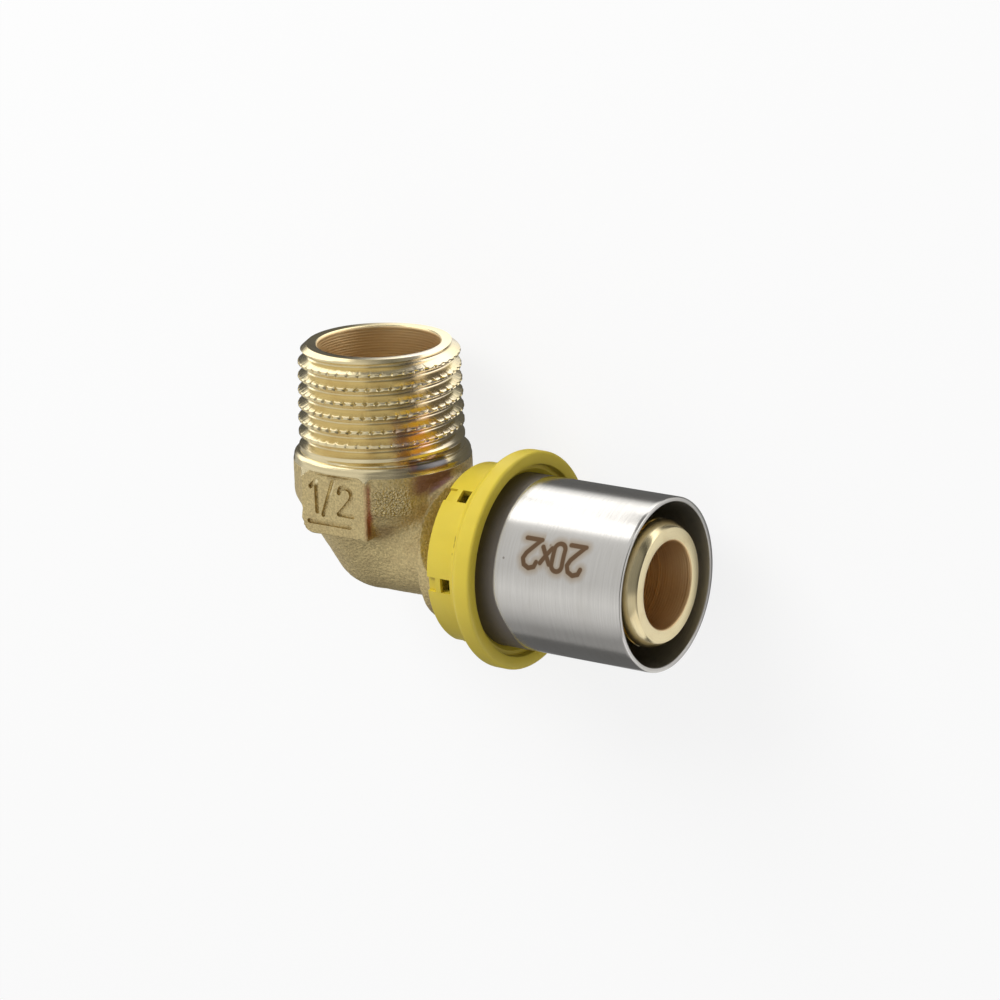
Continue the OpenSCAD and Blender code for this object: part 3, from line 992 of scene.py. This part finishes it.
class ELBOW_OT_stage(bpy.types.Operator):
    """Set the floor, the light and the camera"""
    bl_idname = "elbow.stage"
    bl_label = "Stage"

    def execute(self, context):
        scene = context.scene
        bm = bmesh.new()
        bmesh.ops.create_grid(bm, x_segments=1, y_segments=1, size=3)
        bmesh.ops.translate(bm, vec=(0, 0, CAD_BOX[0].z), verts=bm.verts)
        floor = loose_object(bm, "floor")
        floor.data.materials.append(self.floor_finish(scene.elbow_colours.floor))
        self.world(scene)
        self.canopy()
        self.low_card()
        self.softbox()
        self.camera(scene)
        scene.view_settings.view_transform = "Standard"
        return {"FINISHED"}

    def floor_finish(self, colour):
        """Pale floor that the camera sees nearly white; in reflections it glows with painted light
        and painted dark fields
        """
        s = Shader("floor", Roughness=0.6, Specular_IOR_Level=0.2, Base_Color=(*colour, 1))
        seen, glossy = s.ray("Camera"), s.ray("Glossy")
        # Painted shade and light for reflections: dark fields round the fitting and beyond it, and
        # a brighter glow far out on the thread's side
        beside = s.x.band(-4, 48, 3) * s.y.band(-20, 23, 2)
        beside = beside * s.x.ramp(22, 26).most(s.y.ramp(5, 8))
        away = (s.x * s.x + s.y * s.y).root()
        before = (-s.y / (away + 1)).ramp(0.55, 0.7) * away.ramp(18, 30)
        left = (s.x * s.x + (s.y - 18) * (s.y - 18)).root()
        left = (1 - left.ramp(42, 60)) * (-s.x).ramp(5, 15)
        behind = s.y.ramp(52, 60) * (s.x + s.y * 0.53).ramp(41, 45)
        far_left = (-s.x).ramp(42, 58) * (1 - s.y.ramp(12, 24))
        dark = (beside * 0.88).most(behind * 0.88).most(before * 0.88)
        light = 1 - dark.most(left * 0.95).most(far_left * 0.5)
        light = light * (0.88 + s.y.ramp(22, 34) * 0.97)
        glow = s.glow(seen + (1 - seen) * light)
        surface = s.node("ShaderNodeMixShader", {}, {
            0: seen * 0.82 + glossy * 0.94, 1: Value(s, s.surface.outputs[0]), 2: glow})
        s.feed("Material Output", Surface=surface)
        return s.material

    def canopy(self):
        """A large cloth dome with a bright board far left and a darker low front"""
        reach = 900
        bm = bmesh.new()
        bmesh.ops.create_uvsphere(bm, u_segments=64, v_segments=32, radius=reach)
        bmesh.ops.bisect_plane(bm, geom=bm.verts[:] + bm.edges[:] + bm.faces[:],
                               plane_co=(0, 0, -13), plane_no=(0, 0, -1), clear_outer=True)
        s = Shader("canopy")
        x, y, z = (axis / reach for axis in (s.x, s.y, s.z))
        stops = [(0.03, 0.38), (0.085, 0.31), (0.12, 0.48), (0.20, 0.70), (0.35, 0.84),
                 (0.55, 0.68), (0.85, 0.72), (1.0, 0.8)]
        level = s.node("ShaderNodeValToRGB", {"stops": [(at, (grey,) * 3) for at, grey in stops]},
                       {0: y * 0.5 + 0.5})
        viewer = x.ramp(0.17, 0.24) * (0.22 + y.ramp(-0.2, -0.05) * 0.40)
        side = 1 - viewer - x.ramp(0.65, 0.9) * (0.42 - y.ramp(-0.2, -0.05) * 0.2)
        left = 1 - (x + y * 0.33).ramp(-0.08, 0.02)
        board = (1 - z.ramp(0.24, 0.34)) * left * y.ramp(0.45, 0.6)
        low_right = (1 - z.ramp(0.1, 0.3)) * (1 - left) * y.ramp(0.2, 0.4)
        reflected(bm, s, level * (side * (1 - low_right * 0.7) + board * 1.6))

    def low_card(self):
        """A small white card low in front, for the spigot's nose"""
        bm = bmesh.new()
        bmesh.ops.create_grid(bm, x_segments=1, y_segments=1, size=17)
        bmesh.ops.transform(bm, matrix=place((54, -32, 14), (41, -3, 4)), verts=bm.verts)
        reflected(bm, Shader("low_card"), 0.95)

    def softbox(self):
        """The lamp, high behind the fitting; reflections show the canopy instead of it"""
        data = bpy.data.lights.new("key", "AREA")
        data.size = 0.35
        data.energy = 2.6
        lamp = bpy.data.objects.new("key", data)
        bpy.context.collection.objects.link(lamp)
        lamp.matrix_world = place((-0.20, 0.45, 0.36), (0.01, 0.005, 0))
        lamp.visible_glossy = False

    def world(self, scene):
        """Even grey light, and a white background for the camera"""
        scene.world = bpy.data.worlds.new("studio")
        scene.world.use_nodes = True
        s = Nodes(scene.world.node_tree)
        seen = s.ray("Camera").most(s.ray("Transmission"))
        s.feed("Background", Color=s.mix(seen, (0.5, 0.5, 0.5), (1, 1, 1)))

    def camera(self, scene):
        """The photograph's view, as its own right, up and back directions"""
        data = bpy.data.cameras.new("camera")
        data.lens = 152.19
        data.sensor_width = 36
        data.clip_start = 0.01
        camera = bpy.data.objects.new("camera", data)
        scene.collection.objects.link(camera)
        right = Vector((0.83061, -0.02703, -0.55620))
        up = Vector((-0.14056, 0.95630, -0.25637))
        back = Vector((0.53883, 0.29113, 0.79051))
        turn = Matrix((right, up, back)).transposed().to_4x4()
        camera.matrix_world = Matrix.Translation((0.301251, 0.160451, 0.415963)) @ turn
        scene.camera = camera


# ---------------------------------------------------------------------------
# Panel and registration

class ELBOW_PT_panel(bpy.types.Panel):
    """Sizes, colours and pieces of the fitting"""
    bl_idname = "ELBOW_PT_panel"
    bl_label = "Threaded elbow"
    bl_space_type = "VIEW_3D"
    bl_region_type = "UI"
    bl_category = "Elbow"

    def draw(self, context):
        for group in (context.scene.elbow_sizes, context.scene.elbow_colours):
            box = self.layout.box()
            for name in group.__annotations__:
                box.prop(group, name)
        for operator in OPERATORS:
            self.layout.operator(operator.bl_idname)


OPERATORS = (ELBOW_OT_forging, ELBOW_OT_thread, ELBOW_OT_spigot, ELBOW_OT_sleeve,
             ELBOW_OT_ring, ELBOW_OT_seals, ELBOW_OT_stage)
CLASSES = (ElbowSizes, ElbowColours, *OPERATORS, ELBOW_PT_panel)


def register():
    for cls in CLASSES:
        bpy.utils.register_class(cls)
    bpy.types.Scene.elbow_sizes = PointerProperty(type=ElbowSizes)
    bpy.types.Scene.elbow_colours = PointerProperty(type=ElbowColours)


def unregister():
    del bpy.types.Scene.elbow_colours
    del bpy.types.Scene.elbow_sizes
    for cls in reversed(CLASSES):
        bpy.utils.unregister_class(cls)


def main():
    register()
    bpy.ops.elbow.forging()
    bpy.ops.elbow.thread()
    bpy.ops.elbow.spigot()
    bpy.ops.elbow.sleeve()
    bpy.ops.elbow.ring()
    bpy.ops.elbow.seals()
    bpy.ops.elbow.stage()


if __name__ == "__main__":
    main()
